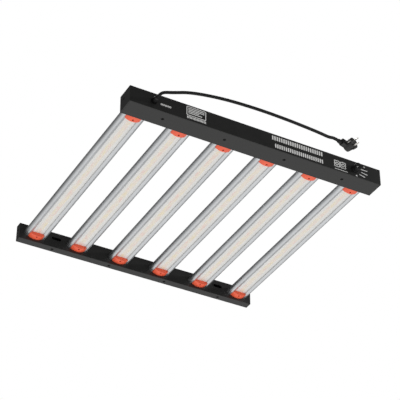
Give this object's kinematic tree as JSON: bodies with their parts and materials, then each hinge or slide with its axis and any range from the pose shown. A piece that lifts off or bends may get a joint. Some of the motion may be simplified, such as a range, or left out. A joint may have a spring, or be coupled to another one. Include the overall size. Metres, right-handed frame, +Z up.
{
  "type": "led grow light",
  "caption": "Flat hanging grow light: parallel aluminium LED bars with orange end caps between black rails, a dimmer knob on the driver rail and a mains lead with an angled plug.",
  "frame": {"origin": "middle of the frame without its lead, on the plane of the rails' bottom faces", "axes": "+X along both rails towards the dimmer, +Y from the driver rail to the other rail, +Z up as the light hangs, so it shines along -Z"},
  "size_m": [0.9, 1.007, 0.0624],
  "materials": {
    "black_powder_coat": "satin black powder coat",
    "anodised_aluminium": "satin anodised, drawn along the length",
    "led_board_white": "white solder mask",
    "clear_cover": "clear polycarbonate strip",
    "orange_plastic": "moulded, fine texture",
    "black_screw_steel": "black oxide",
    "zinc_steel": "zinc plated",
    "black_rubber": "matt",
    "red_wire": "wire insulation",
    "green_board": "solder mask",
    "driver_aluminium": "mill finish",
    "component_plastic": "moulded",
    "pot_metal": "nickel plated",
    "black_knob_plastic": "moulded, fine texture",
    "black_gland_nylon": "moulded nylon",
    "cord_rubber": "matt sheath",
    "plug_rubber": "moulded, matt",
    "nickel_brass": "nickel-plated brass"
  },
  "bodies": {
    "light": {"bar_1_caps": "orange_plastic", "bar_1_cover": "clear_cover", "bar_1_led_board": "led_board_white", "bar_1_profile": "anodised_aluminium", "bar_2_caps": "orange_plastic", "bar_2_cover": "clear_cover", "bar_2_led_board": "led_board_white", "bar_2_profile": "anodised_aluminium", "bar_3_caps": "orange_plastic", "bar_3_cover": "clear_cover", "bar_3_led_board": "led_board_white", "bar_3_profile": "anodised_aluminium", "bar_4_caps": "orange_plastic", "bar_4_cover": "clear_cover", "bar_4_led_board": "led_board_white", "bar_4_profile": "anodised_aluminium", "bar_5_caps": "orange_plastic", "bar_5_cover": "clear_cover", "bar_5_led_board": "led_board_white", "bar_5_profile": "anodised_aluminium", "bar_6_caps": "orange_plastic", "bar_6_cover": "clear_cover", "bar_6_led_board": "led_board_white", "bar_6_profile": "anodised_aluminium", "bar_fixing_screws": "zinc_steel", "bar_leads": "red_wire", "bus_board": "green_board", "cap_and_board_screws": "black_screw_steel", "dimmer_nut": "pot_metal", "dimmer_pot": "pot_metal", "driver_case": "driver_aluminium", "driver_circuit_board": "green_board", "driver_components": "component_plastic", "driver_end_caps": "driver_aluminium", "driver_rail_end_left": "black_powder_coat", "driver_rail_end_right": "black_powder_coat", "driver_rail_housing": "black_powder_coat", "driver_rail_lid": "black_powder_coat", "driver_screws": "zinc_steel", "end_plate_screws": "black_screw_steel", "far_rail_end_left": "black_powder_coat", "far_rail_end_right": "black_powder_coat", "far_rail_housing": "black_powder_coat", "far_rail_lid": "black_powder_coat", "gland_body": "black_gland_nylon", "gland_dome_nut": "black_gland_nylon", "gland_seal": "black_rubber", "hanging_inserts": "zinc_steel", "inner_wires": "red_wire", "lead_grommets": "black_rubber", "lid_brackets": "zinc_steel", "lid_screws": "black_screw_steel", "mains_cord": "cord_rubber", "plug_body": "plug_rubber", "plug_earth_clips": "nickel_brass", "plug_pins": "nickel_brass", "slot_liners": "black_rubber", "terminal_block": "component_plastic"},
    "dimmer": {"dimmer_knob": "black_knob_plastic", "dimmer_shaft": "pot_metal"}
  },
  "joints": [
    {"name": "dimmer_turn", "type": "hinge", "parent": "light", "child": "dimmer", "pos_m": [0.354, -0.4275, 0.0294], "axis": [0, 1, 0], "range_deg": [0, 270]}
  ]
}
